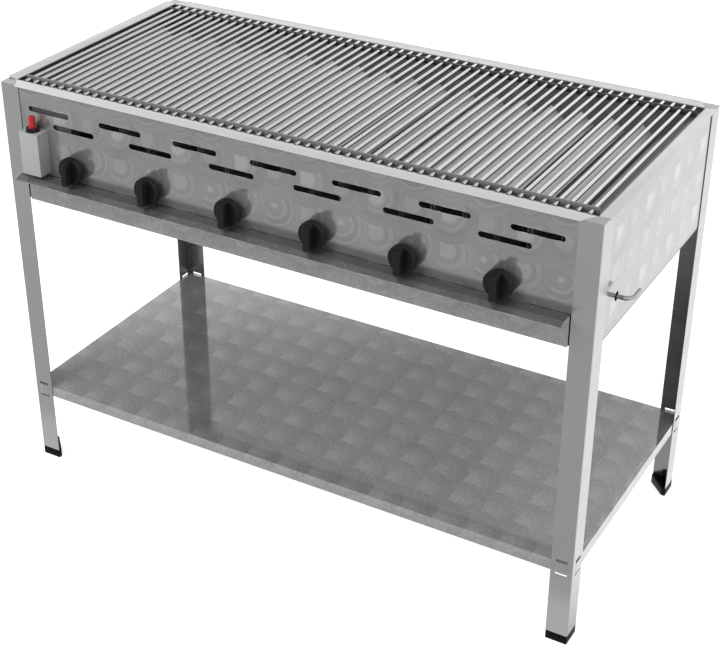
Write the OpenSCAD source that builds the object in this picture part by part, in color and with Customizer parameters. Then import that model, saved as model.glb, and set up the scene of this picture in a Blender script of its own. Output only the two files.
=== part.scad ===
// Gas charbroiler on an open stand: four angle legs carry a sheet steel fire box
// with a round bar grate, six burners and knobs, a pull-out drip tray and a low shelf.
// The origin is on the floor, under the middle of the bounding box. X runs to the
// right, Y to the rear and Z up, in millimetres.

/* [Stand] */
// Width over the legs
body_w = 1300; // [1150:10:1500]
// Depth over the legs
body_d = 600; // [580:5:700]
// Height of the leg tops above the floor
body_h = 910; // [850:5:1000]
// Flange width of the leg angles
leg_flange = 45; // [42:1:48]
// Sheet thickness of the legs
leg_t = 1.5; // [1.2:0.1:2]
// Outer bend radius of the legs
leg_bend_r = 2.5; // [2.2:0.1:4]
// Height of the plastic feet below the legs
foot_h = 20; // [12:1:30]
// Width of the plastic feet where their slanted back meets the flange ends
foot_wall = 9; // [6:1:14]
// Wall of the tongue that holds a foot in its leg
foot_tongue_t = 3; // [2:0.5:5]
// Height of that tongue
foot_tongue_h = 18; // [10:1:25]
// Width of that tongue along each flange
foot_tongue_w = 22; // [15:1:30]

/* [Shelf] */
// Height of the shelf top above the floor
shelf_z = 193; // [120:1:300]
// Depth of the folded shelf edge
shelf_edge = 25; // [20:1:35]
// Square notch in the shelf corners
shelf_notch = 4; // [3:0.5:8]
// Width of the lanced strap in each leg flange
strap_w = 24; // [18:1:26]
// Distance from the leg corner to the middle of the strap
strap_mid = 23.4; // [20:0.1:25]
// How far the strap stands out of the flange
strap_out = 1; // [0.8:0.1:3]
// Width of the slanted ends of the strap
strap_run = 5; // [3:0.5:6]
// Slot above and below the strap
strap_slot = 5.5; // [3:0.5:7]
// Room between a shelf tongue and its strap
tongue_gap = 0.3; // [0.2:0.1:0.6]

/* [Fire box] */
// Sheet thickness of the panels, the shelf and the tray
sheet_t = 1.2; // [0.8:0.1:1.5]
// Height of the side and rear panels, measured down from the leg tops
box_h = 244; // [235:1:246]
// Drop of the rim below the leg tops
rim_drop = 1; // [0.5:0.5:2]
// Width of the front and rear rim strips
rim_w = 24; // [20:1:30]
// Width of the side rim strips
side_rim_w = 19; // [16:1:25]
// Outer bend radius of the rim
rim_r = 3; // [2:0.5:4]
// Outer end of the front rim strip, from the leg corner
rim_end = 36; // [30:1:40]
// Slit between the leg tops and the rim strips
rim_gap = 0.8; // [0.5:0.1:2]
// Height of the leg tops that the panels stay below
tab_room = 6; // [5:0.5:10]

/* [Vents] */
// Length of a vent slot
vent_w = 102; // [60:1:110]
// Height of a vent slot
vent_h = 11.5; // [6:0.5:14]
// Depth of the upper vent row below the leg tops
vent_top = 44.5; // [30:0.5:50]
// Distance between the two vent rows
vent_step = 28.8; // [20:0.2:30]
// Distance from the leg plane to the middle of the first upper vent
vent_edge = 117.5; // [105:0.5:130]

/* [Grate] */
// Diameter of the grate rods
rod_d = 8; // [6:0.5:10]
// Gap between the side rim and the last rod's axis
rod_side_gap = 19; // [16:1:30]
// Gap between the rim and the rod ends
rod_end_gap = 4.5; // [3:0.5:10]
// Height of the front cross bar of the grate
bar_h = 14; // [12:1:18]
// Height of the rear cross bar of the grate
rear_bar_h = 12; // [11:1:18]
// Thickness of the cross bars
bar_t = 4; // [3:0.5:6]
// Distance of the front cross bar from the rod ends
bar_inset = 20; // [15:1:40]
// Distance of the rear cross bar from the rod ends
rear_bar_inset = 26; // [15:1:40]
// Length of a cross bar past the last rod's axis
bar_past = 11.5; // [8:0.5:14]
// Depth of the cross bars' lower edge below the leg tops
bar_low = 10; // [8:1:14]
// Width of the rail ledge under a cross bar's end
rail_overlap = 14; // [8:1:18]
// Depth of the grate rails' side flange
rail_h = 30; // [20:1:40]
// Sheet thickness of the rails and runners
rail_t = 1.5; // [1.2:0.1:2]

/* [Burners] */
// Distance from the leg plane to the first burner's axis
burner_edge = 177.5; // [174:0.5:190]
// Depth of the burner and knob axes below the leg tops
burner_drop = 151; // [145:1:160]
// Outer radius of the burner tubes
burner_r = 19; // [16:0.5:21]
// Wall of the burner tubes
burner_wall = 2.5; // [2:0.5:4]
// Width of the port ridge along a burner
ridge_w = 14; // [10:1:18]
// Height of the port ridge above the tube
ridge_h = 8; // [5:0.5:9]
// Radius of a flame port
port_r = 2; // [1:0.5:2.5]
// Distance between flame ports
port_pitch = 24; // [16:1:40]
// Length of the burner tubes
burner_len = 360; // [330:5:370]
// Length of the flared burner mouth
mouth_len = 18; // [10:1:24]
// Radius of the flared burner mouth
mouth_r = 24; // [22:0.5:26]
// Distance of the burner rails from the tube ends
burner_rail_inset = 36; // [30:1:60]
// Depth of the burner rails below the burner axes
burner_rail_h = 36; // [28:1:37]
// Room between a burner and its rails
burner_gap = 0.2; // [0.1:0.1:0.5]

/* [Flame covers] */
// Gap between neighbouring roofs
cover_gap = 6; // [6:1:15]
// Slope of the roof
cover_slope = 40; // [30:1:45]
// Depth of the roof ridge below the leg tops
cover_drop = 20; // [18:1:25]
// Room between the burner ridges and the cover rails
cover_room = 8.5; // [4:0.5:12]
// Width of the turned-out lower lip
cover_lip = 2; // [1:0.5:2.5]
// Distance from the leg plane to the front of the covers
cover_front = 35; // [30:1:60]
// Distance from the leg plane to the rear of the covers
cover_rear = 115; // [95:1:140]
// Distance of the cover ties from the cover ends
tie_inset = 85; // [70:1:110]
// Width of the tie strips and of the rails below them
tie_w = 20; // [14:1:30]
// Thickness of the tie strips
tie_t = 1.5; // [1:0.1:2]
// Depth of the weld between the covers and their tie strips
tie_weld = 0.5; // [0.3:0.1:0.8]
// Depth of the cover rails
cover_rail_h = 12; // [8:1:14]

/* [Gas line] */
// Outer radius of the gas manifold
manifold_r = 9; // [7:0.5:10]
// Depth of the manifold below the knob axes
manifold_drop = 31; // [29:1:32]
// Distance from the front leg plane to the manifold
manifold_in = 99; // [90:1:110]
// Length of the manifold past the first and last burner
manifold_past = 40; // [20:1:60]
// Outer radius of the inlet pipe
inlet_r = 4.25; // [4:0.25:5]
// Bore radius of the inlet pipe
inlet_bore_r = 3; // [2:0.25:3.5]
// Reach of the inlet pipe past the leg plane
inlet_out = 27; // [24:1:40]
// Bend radius of the inlet pipe
inlet_bend_r = 16; // [12:1:20]
// Length from the bend's centre line to the pipe end
inlet_len = 41; // [36:1:60]
// Bore depth of the inlet pipe
inlet_bore_len = 22; // [10:1:24]
// Radius of the side panel hole round the inlet pipe
inlet_hole_r = 9.25; // [8:0.25:12]
// Radius of a valve body
valve_r = 12; // [11:0.5:14]
// Length of a valve body
valve_len = 72; // [60:1:78]
// Length of a valve body behind its pipe stub's axis
valve_rear = 9; // [8.5:0.5:12]
// Radius of a valve neck
neck_r = 8; // [7:0.5:10]
// Radius of the valve flange on the panel
valve_flange_r = 14; // [13:0.5:16]
// Thickness of that flange
valve_flange_t = 4; // [3:0.5:6]
// Radius of the pipe stub between valve and manifold
stub_r = 7; // [5:0.5:8]
// Radius of the gas jet
jet_r = 5; // [3:0.5:7]
// Length of the gas jet
jet_len = 16; // [12:1:20]
// Length of the jet that stands inside the burner mouth
jet_lap = 8; // [4:1:10]
// Radius of the valve stems
stem_r = 4; // [3:0.25:5]
// Running clearance of the stems
stem_gap = 0.05; // [0.02:0.01:0.1]
// Length of stem inside the valve
stem_in = 40; // [25:1:50]
// Hole in the front panel round a stem
stem_hole_r = 6; // [5.5:0.5:8]

/* [Knobs] */
// Radius of the knob skirt
knob_r = 28; // [24:0.5:30]
// Distance of the knob hub from the leg plane
knob_gap = 4; // [3:0.5:8]
// Radius of the knob hub
hub_r = 12; // [9:0.5:16]
// Length of the knob hub behind the skirt
hub_len = 8; // [6:0.5:12]
// Thickness of the knob skirt
skirt_t = 10.5; // [8:0.5:14]
// Width of the knob grip
grip_w = 15; // [12:0.5:18]
// Height of the knob grip above the skirt
grip_h = 19.5; // [15:0.5:25]
// Wall of the grip in front of the stem
grip_wall = 8; // [4:0.5:12]
// Radius of the grip's rounded ends
grip_r = 27; // [20:0.5:27.5]

/* [Drip tray] */
// Height of the apron below the ledge
apron_h = 65.5; // [55:0.5:70]
// Set-back of the apron behind the faces of the legs
apron_set = 0.5; // [0.2:0.1:0.7]
// Gap between the knobs and the ledge
ledge_room = 5.5; // [4:0.5:10]
// Gap between the apron and the leg flanges
apron_gap = 3; // [2:0.5:5]
// Gap between the ledge and the front panel above it
ledge_gap = 1; // [0.6:0.1:2]
// Width of the flat ledge in front of the legs
ledge_w = 26; // [20:1:32]
// Width of the sloping lip
lip_w = 14.5; // [10:0.5:20]
// Slope of the lip
lip_slope = 23; // [10:1:40]
// Radius of the rolled edge of the lip
lip_bead_r = 1.4; // [1:0.1:2]
// Lift of the pan above the apron's lower edge
pan_lift = 2.2; // [2:0.1:4]
// Depth of the pan's rim below the ledge
pan_drop = 15.3; // [12:0.1:30]
// Distance of the pan walls from the apron ends
pan_inset = 4; // [3:0.5:8]
// Gap between the pan and the rear leg plane
pan_rear_gap = 15; // [10:1:40]
// Gap between sliding or lifting pieces and their seats
seat_gap = 0.2; // [0.1:0.05:0.4]
// Width of the runner ledge under the pan
runner_overlap = 13; // [8:1:30]
// Height of the runner side flange
runner_h = 40; // [20:1:45]
// Distance of the runner ends from the leg planes
runner_end_gap = 6; // [4:1:20]

/* [Igniter] */
// Width of the igniter box
igniter_w = 47; // [40:1:52]
// Height of the igniter box
igniter_h = 92; // [80:1:94]
// Reach of the igniter box in front of the leg plane
igniter_out = 31; // [28:1:36]
// Wall of the igniter box
igniter_wall = 2; // [1.5:0.5:3]
// Gap between the leg flange and the igniter box
igniter_gap = 18; // [10:1:25]
// Gap between the ledge and the igniter box
igniter_room = 8.8; // [6:0.2:12]
// Radius of the collar nut on top
collar_r = 14; // [12:0.5:14.5]
// Height of the collar nut
collar_h = 8; // [6:0.5:12]
// Outer radius of the threaded neck of the piezo unit
piezo_neck_r = 9.5; // [8.5:0.5:11]
// Radius of the piezo body
piezo_r = 12; // [11.5:0.5:13]
// Length of the piezo body
piezo_len = 55; // [40:1:60]
// Radius of the red button
button_r = 6.75; // [5:0.25:7.5]
// Running clearance of the button
button_gap = 0.05; // [0.02:0.01:0.1]
// Height of the button top above the box
button_top = 31; // [22:1:36]
// Depth of the button inside the box at rest
button_in = 12; // [8:1:16]
// Travel of the button
button_travel = 6; // [4:0.5:8]
// Radius of the electrode insulator
electrode_r = 3.5; // [2.5:0.5:4]
// Length of the electrode insulator
electrode_len = 60; // [40:1:80]
// Distance of the electrode from the first burner's axis
electrode_side = 34; // [32:1:40]
// Depth of the electrode below the burner axis
electrode_drop = 11; // [8:1:14]
// Radius of the spark wire
spark_r = 1.2; // [0.8:0.1:1.5]
// Spark gap between the wire and the burner
spark_gap = 4; // [3:0.5:5]
// Radius of the ignition lead
lead_r = 1.5; // [1:0.1:2]
// Radius of the lead's hole in the front panel
lead_hole_r = 5; // [4:0.5:7]

/* [Hidden] */
$fn = 48;
burner_count = 6;
covers_per_burner = 3;
rod_count = 58;
cut = 1;

// Half widths, and the outer and inner faces of the panels
half_w = body_w / 2;
half_d = body_d / 2;
panel_x = half_w - leg_t;
panel_y = half_d - leg_t;
inner_x = panel_x - sheet_t;
inner_y = panel_y - sheet_t;
rim_z = body_h - rim_drop;
box_z = body_h - box_h;
panel_top = body_h - tab_room;
leg_in = half_w - leg_flange;

// Grate
rod_r = rod_d / 2;
rod_x = panel_x - side_rim_w - rod_side_gap;
rod_y = panel_y - rim_w - rod_end_gap;
rod_pitch = 2 * rod_x / (rod_count - 1);
bar_x = rod_x + bar_past;
bar_y = rod_y - bar_inset;
rear_bar_y = rod_y - rear_bar_inset;
bar_z = body_h - bar_low;
rod_z = bar_z + bar_h / 2;

// Vents, burners, gas line and knobs
vent_pitch = (body_w - 2 * vent_edge) / burner_count;
burner_pitch = (body_w - 2 * burner_edge) / (burner_count - 1);
axis_z = body_h - burner_drop;
manifold_y = -half_d + manifold_in;
jet_y = manifold_y + valve_rear;
burner_y = jet_y + jet_len - jet_lap;
burner_end = burner_y + burner_len;
manifold_z = axis_z - manifold_drop;
manifold_end = burner_x(burner_count) + manifold_past;
knob_y = -half_d - knob_gap;
skirt_y = knob_y - hub_len;
grip_y = skirt_y - skirt_t;
knob_front = grip_y - grip_h;
stem_front = knob_front + grip_wall;
stem_rear = -inner_y + stem_in;

// Flame covers
cover_pitch = burner_pitch / covers_per_burner;
cover_w = cover_pitch - cover_gap;
ridge_z = body_h - cover_drop;
cover_y0 = -half_d + cover_front;
cover_y1 = half_d - cover_rear;
tie_z = axis_z + burner_r + ridge_h + cover_room + cover_rail_h;
cover_z = tie_z + tie_t - tie_weld;

// Drip tray
ledge_z = axis_z - knob_r - ledge_room;
apron_z = ledge_z - apron_h;
apron_x = leg_in - apron_gap;
apron_y = -half_d + apron_set;
ledge_y = -half_d - ledge_w;
lip_y = ledge_y - lip_w * cos(lip_slope);
lip_z = ledge_z - lip_w * sin(lip_slope);
pan_x = apron_x - pan_inset;
pan_z = apron_z + pan_lift;
pan_h = ledge_z - pan_drop - pan_z;
pan_rear = half_d - pan_rear_gap;
runner_z = pan_z - seat_gap;

// Igniter
igniter_x = -leg_in + igniter_gap + igniter_w / 2;
igniter_top = ledge_z + igniter_room + igniter_h;
igniter_y = -(panel_y + half_d + igniter_out) / 2;
piezo_z = igniter_top - igniter_wall - piezo_len;
button_z = igniter_top - button_in;
electrode_x = burner_x(1) - electrode_side;
electrode_z = axis_z - electrode_drop;
front_rail_y = burner_y + burner_rail_inset;
rear_rail_y = burner_end - burner_rail_inset;
electrode_y = front_rail_y - electrode_len / 4;

// Middle of the stand in the part's frame, so that the bounding box is centred
reach_right = max(inlet_out + inlet_r, strap_out);
reach_front = max(-knob_front - half_d, -lip_y + lip_bead_r - half_d);
mid_x = (strap_out - reach_right) / 2;
mid_y = (reach_front - strap_out) / 2;

function burner_x(i) = (i - (burner_count + 1) / 2) * burner_pitch;
function numbered(name) = [for (i = [1 : burner_count]) str(name, "_", i)];

// Moves a shape from the middle of the stand into the part's frame
module in_frame() {
    translate([mid_x, mid_y, 0]) children();
}

// Places a corner shape drawn with its outer faces on x = 0 and y = 0
module at_corner(sx, sy) {
    in_frame()
        translate([sx * half_w, sy * half_d, 0])
            mirror([sx > 0 ? 1 : 0, 0, 0])
                mirror([0, sy > 0 ? 1 : 0, 0])
                    children();
}

// Repeats a shape on both flanges of a corner angle
module both_flanges() {
    children();
    mirror([1, -1, 0]) children();
}

// Outline of a bent angle with its outer corner at the origin
module bent_angle(a, b, t, r) {
    translate([r, 0]) square([a - r, t]);
    translate([0, r]) square([t, b - r]);
    intersection() {
        square(r);
        translate([r, r]) difference() {
            circle(r);
            if (r > t) circle(r - t);
        }
    }
}

// Cylinder along Y from y0 to y1
module bar_along_y(y0, y1, r) {
    translate([0, y1, 0]) rotate([90, 0, 0]) cylinder(h = y1 - y0, r = r);
}

// Cylinder along X from x0 to x1
module bar_along_x(x0, x1, r) {
    translate([x0, 0, 0]) rotate([0, 90, 0]) cylinder(h = x1 - x0, r = r);
}

// Sheet with its outer face on y = 0 and a rim strip turned inwards at the top
module rim_panel(low, half_len, strip, half_outer, half_inner) {
    fold = rim_z - panel_top + cut;
    translate([-half_len, 0, low]) cube([2 * half_len, sheet_t, panel_top - low]);
    intersection() {
        translate([-half_inner, 0, rim_z])
            rotate([90, 0, 90])
                linear_extrude(2 * half_inner)
                    mirror([0, 1]) bent_angle(strip, fold, sheet_t, rim_r);
        translate([0, 0, panel_top - cut])
            linear_extrude(fold + cut)
                polygon([[-half_outer, -cut], [half_outer, -cut], [half_outer, 0], [half_inner, strip],
                         [half_inner, strip + cut], [-half_inner, strip + cut], [-half_inner, strip],
                         [-half_outer, 0]]);
    }
}

// Long panel between two legs, for the front and the rear
module long_panel(low) {
    half_len = half_w - leg_bend_r;
    rim_panel(low, half_len, rim_w, half_w - rim_end - rim_gap, panel_x - side_rim_w - rim_gap);
}

// Short panel between the long ones, for the two sides
module short_panel() {
    half_rim = panel_y - rim_w - rim_gap;
    rim_panel(box_z, inner_y, side_rim_w, half_rim, half_rim);
}

// Rounded slot through a front sheet
module vent(x, z) {
    half = (vent_w - vent_h) / 2;
    translate([x, 0, z]) {
        translate([-half, -cut, -vent_h / 2]) cube([2 * half, sheet_t + 2 * cut, vent_h]);
        for (s = [-1, 1]) translate([s * half, 0, 0]) bar_along_y(-cut, sheet_t + cut, vent_h / 2);
    }
}

// Lanced strap of a leg flange, and the window that it is pushed out of
module strap_window() {
    translate([strap_mid - strap_w / 2, -cut, shelf_z - shelf_edge - strap_slot])
        cube([strap_w, leg_t + 2 * cut, shelf_edge + 2 * strap_slot]);
}
module strap() {
    x0 = strap_mid - strap_w / 2;
    x1 = strap_mid + strap_w / 2;
    translate([0, 0, shelf_z - shelf_edge])
        linear_extrude(shelf_edge)
            polygon([[x0, 0], [x0 + strap_run, -strap_out], [x1 - strap_run, -strap_out], [x1, 0],
                     [x1, leg_t], [x1 - strap_run, leg_t - strap_out],
                     [x0 + strap_run, leg_t - strap_out], [x0, leg_t]]);
}

module leg() {
    tab_in = leg_t + side_rim_w;
    tab_deep = leg_t + rim_w;
    color("silver") {
        difference() {
            union() {
                translate([0, 0, foot_h])
                    linear_extrude(body_h - foot_h)
                        bent_angle(leg_flange, leg_flange, leg_t, leg_bend_r);
                translate([0, 0, body_h - leg_t])
                    linear_extrude(leg_t)
                        polygon([[leg_t / 2, leg_t / 2], [rim_end, leg_t / 2], [rim_end, leg_t],
                                 [tab_in, tab_deep], [leg_t / 2, tab_deep]]);
            }
            both_flanges() strap_window();
        }
        both_flanges() strap();
    }
}

module foot() {
    near = leg_bend_r;
    color("black") {
        linear_extrude(foot_h) {
            bent_angle(leg_flange, leg_flange, foot_wall, leg_bend_r);
            polygon([[near, near], [leg_flange, near], [leg_flange, foot_wall],
                     [foot_wall, leg_flange], [near, leg_flange]]);
        }
        translate([leg_t, leg_t, foot_h])
            linear_extrude(foot_tongue_h)
                bent_angle(foot_tongue_w, foot_tongue_w, foot_tongue_t, leg_bend_r - leg_t);
    }
}

module front_panel() {
    upper_vents = burner_count + 1;
    color("darkgray") in_frame() translate([0, -panel_y, 0]) difference() {
        long_panel(ledge_z + ledge_gap);
        for (i = [1 : upper_vents])
            vent((i - (upper_vents + 1) / 2) * vent_pitch, body_h - vent_top);
        for (i = [1 : burner_count]) {
            vent(burner_x(i), body_h - vent_top - vent_step);
            translate([burner_x(i), 0, axis_z]) bar_along_y(-cut, sheet_t + cut, stem_hole_r);
        }
        translate([igniter_x, 0, electrode_z]) bar_along_y(-cut, sheet_t + cut, lead_hole_r);
    }
}

module rear_panel() {
    color("darkgray") in_frame() translate([0, panel_y, 0]) rotate([0, 0, 180]) long_panel(box_z);
}

module side_panel_left() {
    color("gainsboro") in_frame() translate([-panel_x, 0, 0]) rotate([0, 0, -90]) short_panel();
}

module side_panel_right() {
    color("gainsboro") in_frame() difference() {
        translate([panel_x, 0, 0]) rotate([0, 0, 90]) short_panel();
        translate([0, manifold_y, manifold_z]) bar_along_x(inner_x - cut, panel_x + cut, inlet_hole_r);
    }
}

module shelf() {
    low = shelf_z - shelf_edge;
    tongue_w = strap_w - 2 * strap_run;
    tongue_h = shelf_edge - 2 * strap_slot;
    color("lightgray") {
        in_frame() difference() {
            translate([-panel_x, -panel_y, low]) cube([2 * panel_x, 2 * panel_y, shelf_edge]);
            translate([-inner_x, -inner_y, low - cut])
                cube([2 * inner_x, 2 * inner_y, shelf_edge - sheet_t + cut]);
            for (sx = [-1, 1], sy = [-1, 1])
                translate([sx * panel_x, sy * panel_y, shelf_z])
                    cube([2 * shelf_notch, 2 * shelf_notch, 3 * shelf_edge], center = true);
        }
        for (sx = [-1, 1], sy = [-1, 1])
            at_corner(sx, sy) both_flanges()
                translate([strap_mid - tongue_w / 2, leg_t - strap_out + tongue_gap, low + strap_slot])
                    cube([tongue_w, strap_out - tongue_gap + sheet_t, tongue_h]);
    }
}

module tray_runner(side) {
    half_len = half_d - runner_end_gap;
    inner = pan_x - runner_overlap;
    color("gray") in_frame() mirror([side < 0 ? 1 : 0, 0, 0]) {
        translate([inner, -half_len, runner_z - rail_t]) cube([inner_x - inner, 2 * half_len, rail_t]);
        translate([inner_x - rail_t, -half_len, runner_z - rail_t]) cube([rail_t, 2 * half_len, runner_h]);
    }
}

module drip_tray() {
    apron_in = apron_y + sheet_t;
    color("darkgray") in_frame() {
        difference() {
            translate([-pan_x, apron_y, pan_z]) cube([2 * pan_x, pan_rear - apron_y, pan_h]);
            translate([-pan_x + sheet_t, apron_in, pan_z + sheet_t])
                cube([2 * (pan_x - sheet_t), pan_rear - apron_in - sheet_t, pan_h]);
        }
        translate([-apron_x, 0, 0])
            rotate([90, 0, 90])
                linear_extrude(2 * apron_x)
                    polygon([[apron_in, apron_z], [apron_y, apron_z], [apron_y, ledge_z - sheet_t],
                             [ledge_y, ledge_z - sheet_t], [lip_y, lip_z - sheet_t], [lip_y, lip_z],
                             [ledge_y, ledge_z], [apron_in, ledge_z]]);
        translate([0, lip_y, lip_z - sheet_t / 2]) bar_along_x(-apron_x, apron_x, lip_bead_r);
    }
}

module grate() {
    color("silver") in_frame() {
        for (i = [0 : rod_count - 1])
            translate([-rod_x + i * rod_pitch, 0, rod_z]) bar_along_y(-rod_y, rod_y, rod_r);
        translate([-bar_x, -bar_y - bar_t / 2, bar_z]) cube([2 * bar_x, bar_t, bar_h]);
        translate([-bar_x, rear_bar_y - bar_t / 2, bar_z]) cube([2 * bar_x, bar_t, rear_bar_h]);
    }
}

module grate_rail(side) {
    inner = bar_x - rail_overlap;
    top = bar_z - seat_gap;
    color("gray") in_frame() mirror([side < 0 ? 1 : 0, 0, 0]) {
        translate([inner, -rod_y, top - rail_t]) cube([inner_x - inner, 2 * rod_y, rail_t]);
        translate([inner_x - rail_t, -rod_y, top - rail_h]) cube([rail_t, 2 * rod_y, rail_h]);
    }
}

// Outline of one folded roof with skirts and turned-out lips
module cover_outline() {
    half = cover_w / 2;
    eave = ridge_z - half * tan(cover_slope);
    inner_ridge = ridge_z - sheet_t / cos(cover_slope);
    inner_eave = inner_ridge - (half - sheet_t) * tan(cover_slope);
    polygon([[-half - cover_lip, cover_z], [-half - cover_lip, cover_z + sheet_t],
             [-half, cover_z + sheet_t], [-half, eave], [0, ridge_z], [half, eave],
             [half, cover_z + sheet_t], [half + cover_lip, cover_z + sheet_t],
             [half + cover_lip, cover_z], [half - sheet_t, cover_z], [half - sheet_t, inner_eave],
             [0, inner_ridge], [-half + sheet_t, inner_eave], [-half + sheet_t, cover_z]]);
}

// One set of roofs; the first and the last set have one more, out to the side panel
module flame_cover(i) {
    middle = (covers_per_burner - 1) / 2;
    first = i == 1 ? -1 : 0;
    last = i == burner_count ? covers_per_burner : covers_per_burner - 1;
    tie_x = (first - middle) * cover_pitch - cover_w / 2;
    tie_len = (last - first) * cover_pitch + cover_w;
    color("dimgray") in_frame() translate([burner_x(i), 0, 0]) {
        for (k = [first : last])
            translate([(k - middle) * cover_pitch, cover_y1, 0])
                rotate([90, 0, 0]) linear_extrude(cover_y1 - cover_y0) cover_outline();
        for (y = [cover_y0 + tie_inset, cover_y1 - tie_inset])
            translate([tie_x, y - tie_w / 2, tie_z]) cube([tie_len, tie_w, tie_t]);
    }
}

module cover_rails() {
    color("gray") in_frame() for (y = [cover_y0 + tie_inset, cover_y1 - tie_inset]) {
        translate([-inner_x, y - tie_w / 2, tie_z - rail_t]) cube([2 * inner_x, tie_w, rail_t]);
        translate([-inner_x, y - rail_t / 2, tie_z - cover_rail_h]) cube([2 * inner_x, rail_t, cover_rail_h]);
    }
}

module burner(i) {
    bore_r = burner_r - burner_wall;
    channel_w = ridge_w - 2 * burner_wall;
    ridge_y = burner_y + mouth_len;
    ports = floor((burner_len - mouth_len - port_pitch) / port_pitch);
    color("dimgray") in_frame() translate([burner_x(i), 0, axis_z]) difference() {
        union() {
            bar_along_y(burner_y, burner_end, burner_r);
            translate([0, ridge_y, 0])
                rotate([90, 0, 0]) cylinder(h = mouth_len, r1 = burner_r, r2 = mouth_r);
            translate([-ridge_w / 2, ridge_y, 0]) cube([ridge_w, burner_end - ridge_y, burner_r + ridge_h]);
        }
        bar_along_y(burner_y - cut, burner_end - burner_wall, bore_r);
        translate([-channel_w / 2, ridge_y + burner_wall, 0])
            cube([channel_w, burner_end - ridge_y - 2 * burner_wall, burner_r + ridge_h - burner_wall]);
        for (k = [1 : ports])
            translate([0, ridge_y + k * port_pitch, burner_r + ridge_h / 2])
                bar_along_x(-ridge_w, ridge_w, port_r);
    }
}

// Cross sheet with a half round seat under each burner
module burner_rail(y) {
    in_frame() difference() {
        translate([-inner_x, y - rail_t / 2, axis_z - burner_rail_h])
            cube([2 * inner_x, rail_t, burner_rail_h]);
        for (i = [1 : burner_count])
            translate([burner_x(i), 0, axis_z]) bar_along_y(y - rail_t, y + rail_t, burner_r + burner_gap);
    }
}

module burner_rail_front() {
    color("gray") difference() {
        burner_rail(front_rail_y);
        in_frame() translate([electrode_x, 0, electrode_z])
            bar_along_y(front_rail_y - rail_t, front_rail_y + rail_t, electrode_r + burner_gap);
    }
}

module burner_rail_rear() {
    color("gray") burner_rail(rear_rail_y);
}

module gas_manifold() {
    color("goldenrod") in_frame() translate([0, manifold_y, manifold_z])
        bar_along_x(-manifold_end, manifold_end, manifold_r);
}

module inlet_pipe() {
    bend_x = half_w + inlet_out - inlet_bend_r;
    color("silver") in_frame() translate([0, manifold_y, manifold_z]) difference() {
        union() {
            bar_along_x(manifold_end, bend_x, inlet_r);
            translate([bend_x, inlet_bend_r, 0])
                rotate([0, 0, -90]) rotate_extrude(angle = 90) translate([inlet_bend_r, 0]) circle(inlet_r);
            translate([half_w + inlet_out, 0, 0]) bar_along_y(inlet_bend_r, inlet_len, inlet_r);
        }
        translate([half_w + inlet_out, 0, 0])
            bar_along_y(inlet_len - inlet_bore_len, inlet_len + cut, inlet_bore_r);
    }
}

module gas_valve(i) {
    color("goldenrod") in_frame() translate([burner_x(i), 0, axis_z]) difference() {
        union() {
            bar_along_y(-inner_y, -inner_y + valve_flange_t, valve_flange_r);
            bar_along_y(-inner_y, jet_y, neck_r);
            bar_along_y(jet_y - valve_len, jet_y, valve_r);
            bar_along_y(jet_y, jet_y + jet_len, jet_r);
            translate([0, manifold_y, -manifold_drop]) cylinder(h = manifold_drop, r = stub_r);
        }
        bar_along_y(-inner_y - cut, stem_rear + cut, stem_r + stem_gap);
        translate([0, manifold_y, -manifold_drop])
            bar_along_x(-valve_r, valve_r, manifold_r + stem_gap);
    }
}

module valve_stem(i) {
    color("silver") in_frame() translate([burner_x(i), 0, axis_z]) bar_along_y(stem_front, stem_rear, stem_r);
}

module knob(i) {
    color([0.12, 0.12, 0.12]) in_frame() translate([burner_x(i), 0, axis_z]) difference() {
        union() {
            bar_along_y(skirt_y, knob_y, hub_r);
            bar_along_y(grip_y, skirt_y, knob_r);
            intersection() {
                translate([-grip_w / 2, knob_front, -grip_r]) cube([grip_w, grip_h + cut, 2 * grip_r]);
                bar_along_y(knob_front, skirt_y, grip_r);
            }
        }
        bar_along_y(stem_front, knob_y + cut, stem_r + stem_gap);
    }
}

module igniter_box() {
    depth = half_d + igniter_out - panel_y;
    inner_w = igniter_w - 2 * igniter_wall;
    color("lightgray") in_frame() translate([igniter_x, 0, igniter_top - igniter_h]) difference() {
        translate([-igniter_w / 2, -panel_y - depth, 0]) cube([igniter_w, depth, igniter_h]);
        translate([-inner_w / 2, -panel_y - depth + igniter_wall, igniter_wall])
            cube([inner_w, depth, igniter_h - 2 * igniter_wall]);
        translate([0, igniter_y, igniter_h / 2]) cylinder(h = igniter_h, r = piezo_neck_r + button_gap);
    }
}

module igniter_collar() {
    color([0.1, 0.1, 0.1]) in_frame() translate([igniter_x, igniter_y, igniter_top]) difference() {
        cylinder(h = collar_h, r = collar_r);
        translate([0, 0, -cut]) cylinder(h = collar_h + 2 * cut, r = piezo_neck_r + button_gap);
    }
}

module piezo_unit() {
    bore_z = button_z - button_travel - cut;
    color("ivory") in_frame() translate([igniter_x, igniter_y, 0]) difference() {
        union() {
            translate([0, 0, piezo_z]) cylinder(h = piezo_len, r = piezo_r);
            translate([0, 0, piezo_z]) cylinder(h = igniter_top + collar_h - cut - piezo_z, r = piezo_neck_r);
        }
        translate([0, 0, bore_z]) cylinder(h = body_h, r = button_r + button_gap);
    }
}

module igniter_button() {
    color("firebrick") in_frame() translate([igniter_x, igniter_y, button_z])
        cylinder(h = igniter_top + button_top - button_z, r = button_r);
}

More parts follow.
